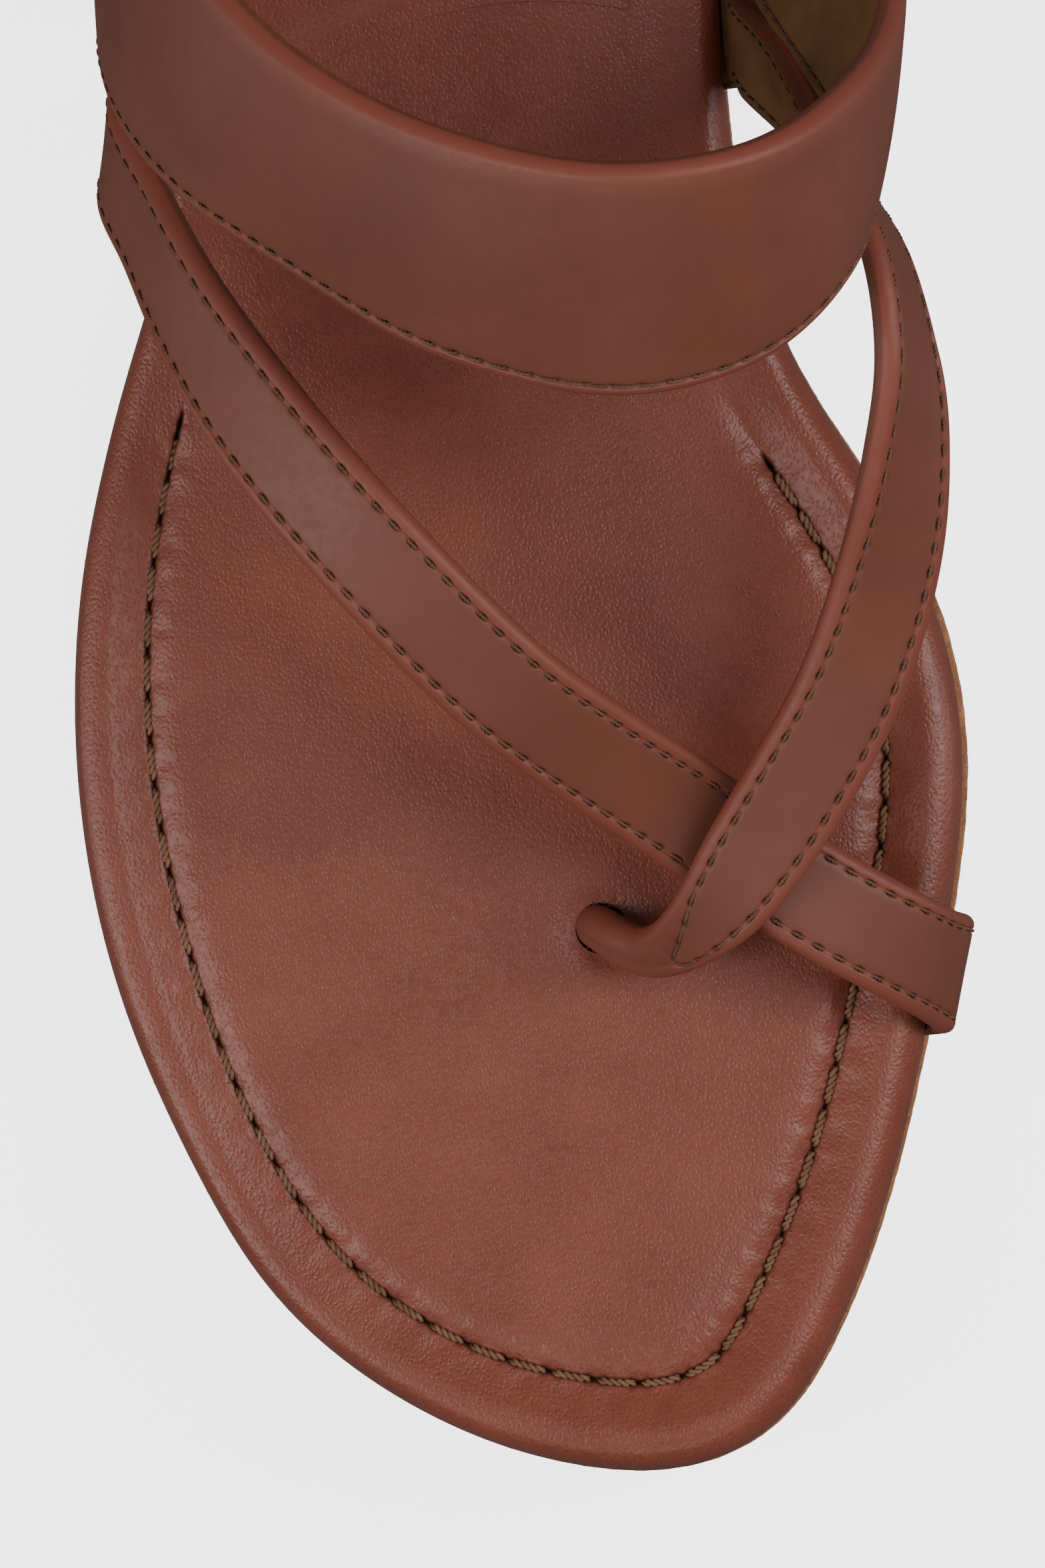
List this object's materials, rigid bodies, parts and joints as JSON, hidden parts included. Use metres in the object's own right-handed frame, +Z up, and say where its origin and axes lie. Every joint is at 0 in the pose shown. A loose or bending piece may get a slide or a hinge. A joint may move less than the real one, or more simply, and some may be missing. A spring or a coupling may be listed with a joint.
{
  "type": "toe-post slide sandal",
  "caption": "Low-heeled leather toe-post slide for the right foot, with a padded footbed, a wide instep band, a crossed thong strap and a loop over the big toe.",
  "frame": {"origin": "point of the outsole's flat underside below the ball of the foot, on the ground", "axes": "+Y back towards the heel, +X towards the big-toe side, +Z up"},
  "size_m": [0.0872, 0.2481, 0.0797],
  "materials": {
    "brown_leather": "fine pebbled grain, satin",
    "lining_leather": "smooth, matt",
    "sole_leather": "cut fibrous edge, waxed",
    "board": "pressed fibre board",
    "foam": "open-cell latex foam",
    "thread": "two-ply twisted thread",
    "cord": "braided cord",
    "rubber": "moulded, matt",
    "brass": "nail heads, brushed"
  },
  "bodies": {
    "root": {"outsole": "sole_leather", "heel_lift_upper": "sole_leather", "heel_lift_lower": "sole_leather", "heel_top_piece": "rubber", "heel_nail_1": "brass", "heel_nail_2": "brass", "heel_nail_3": "brass", "heel_nail_4": "brass", "insole_board": "board", "footbed_foam": "foam", "footbed_cover": "brown_leather", "heel_sock": "brown_leather", "footbed_stitching": "thread", "toe_post_sleeve": "brown_leather", "toe_post_cord": "cord", "toe_post_anchor": "board", "thong_strap_face": "brown_leather", "thong_strap_lining": "lining_leather", "thong_strap_stitching": "thread", "toe_strap_face": "brown_leather", "toe_strap_lining": "lining_leather", "toe_strap_stitching_front": "thread", "toe_strap_stitching_rear": "thread", "instep_band_face": "brown_leather", "instep_band_lining": "lining_leather", "instep_band_stitching_front": "thread"}
  },
  "joints": []
}
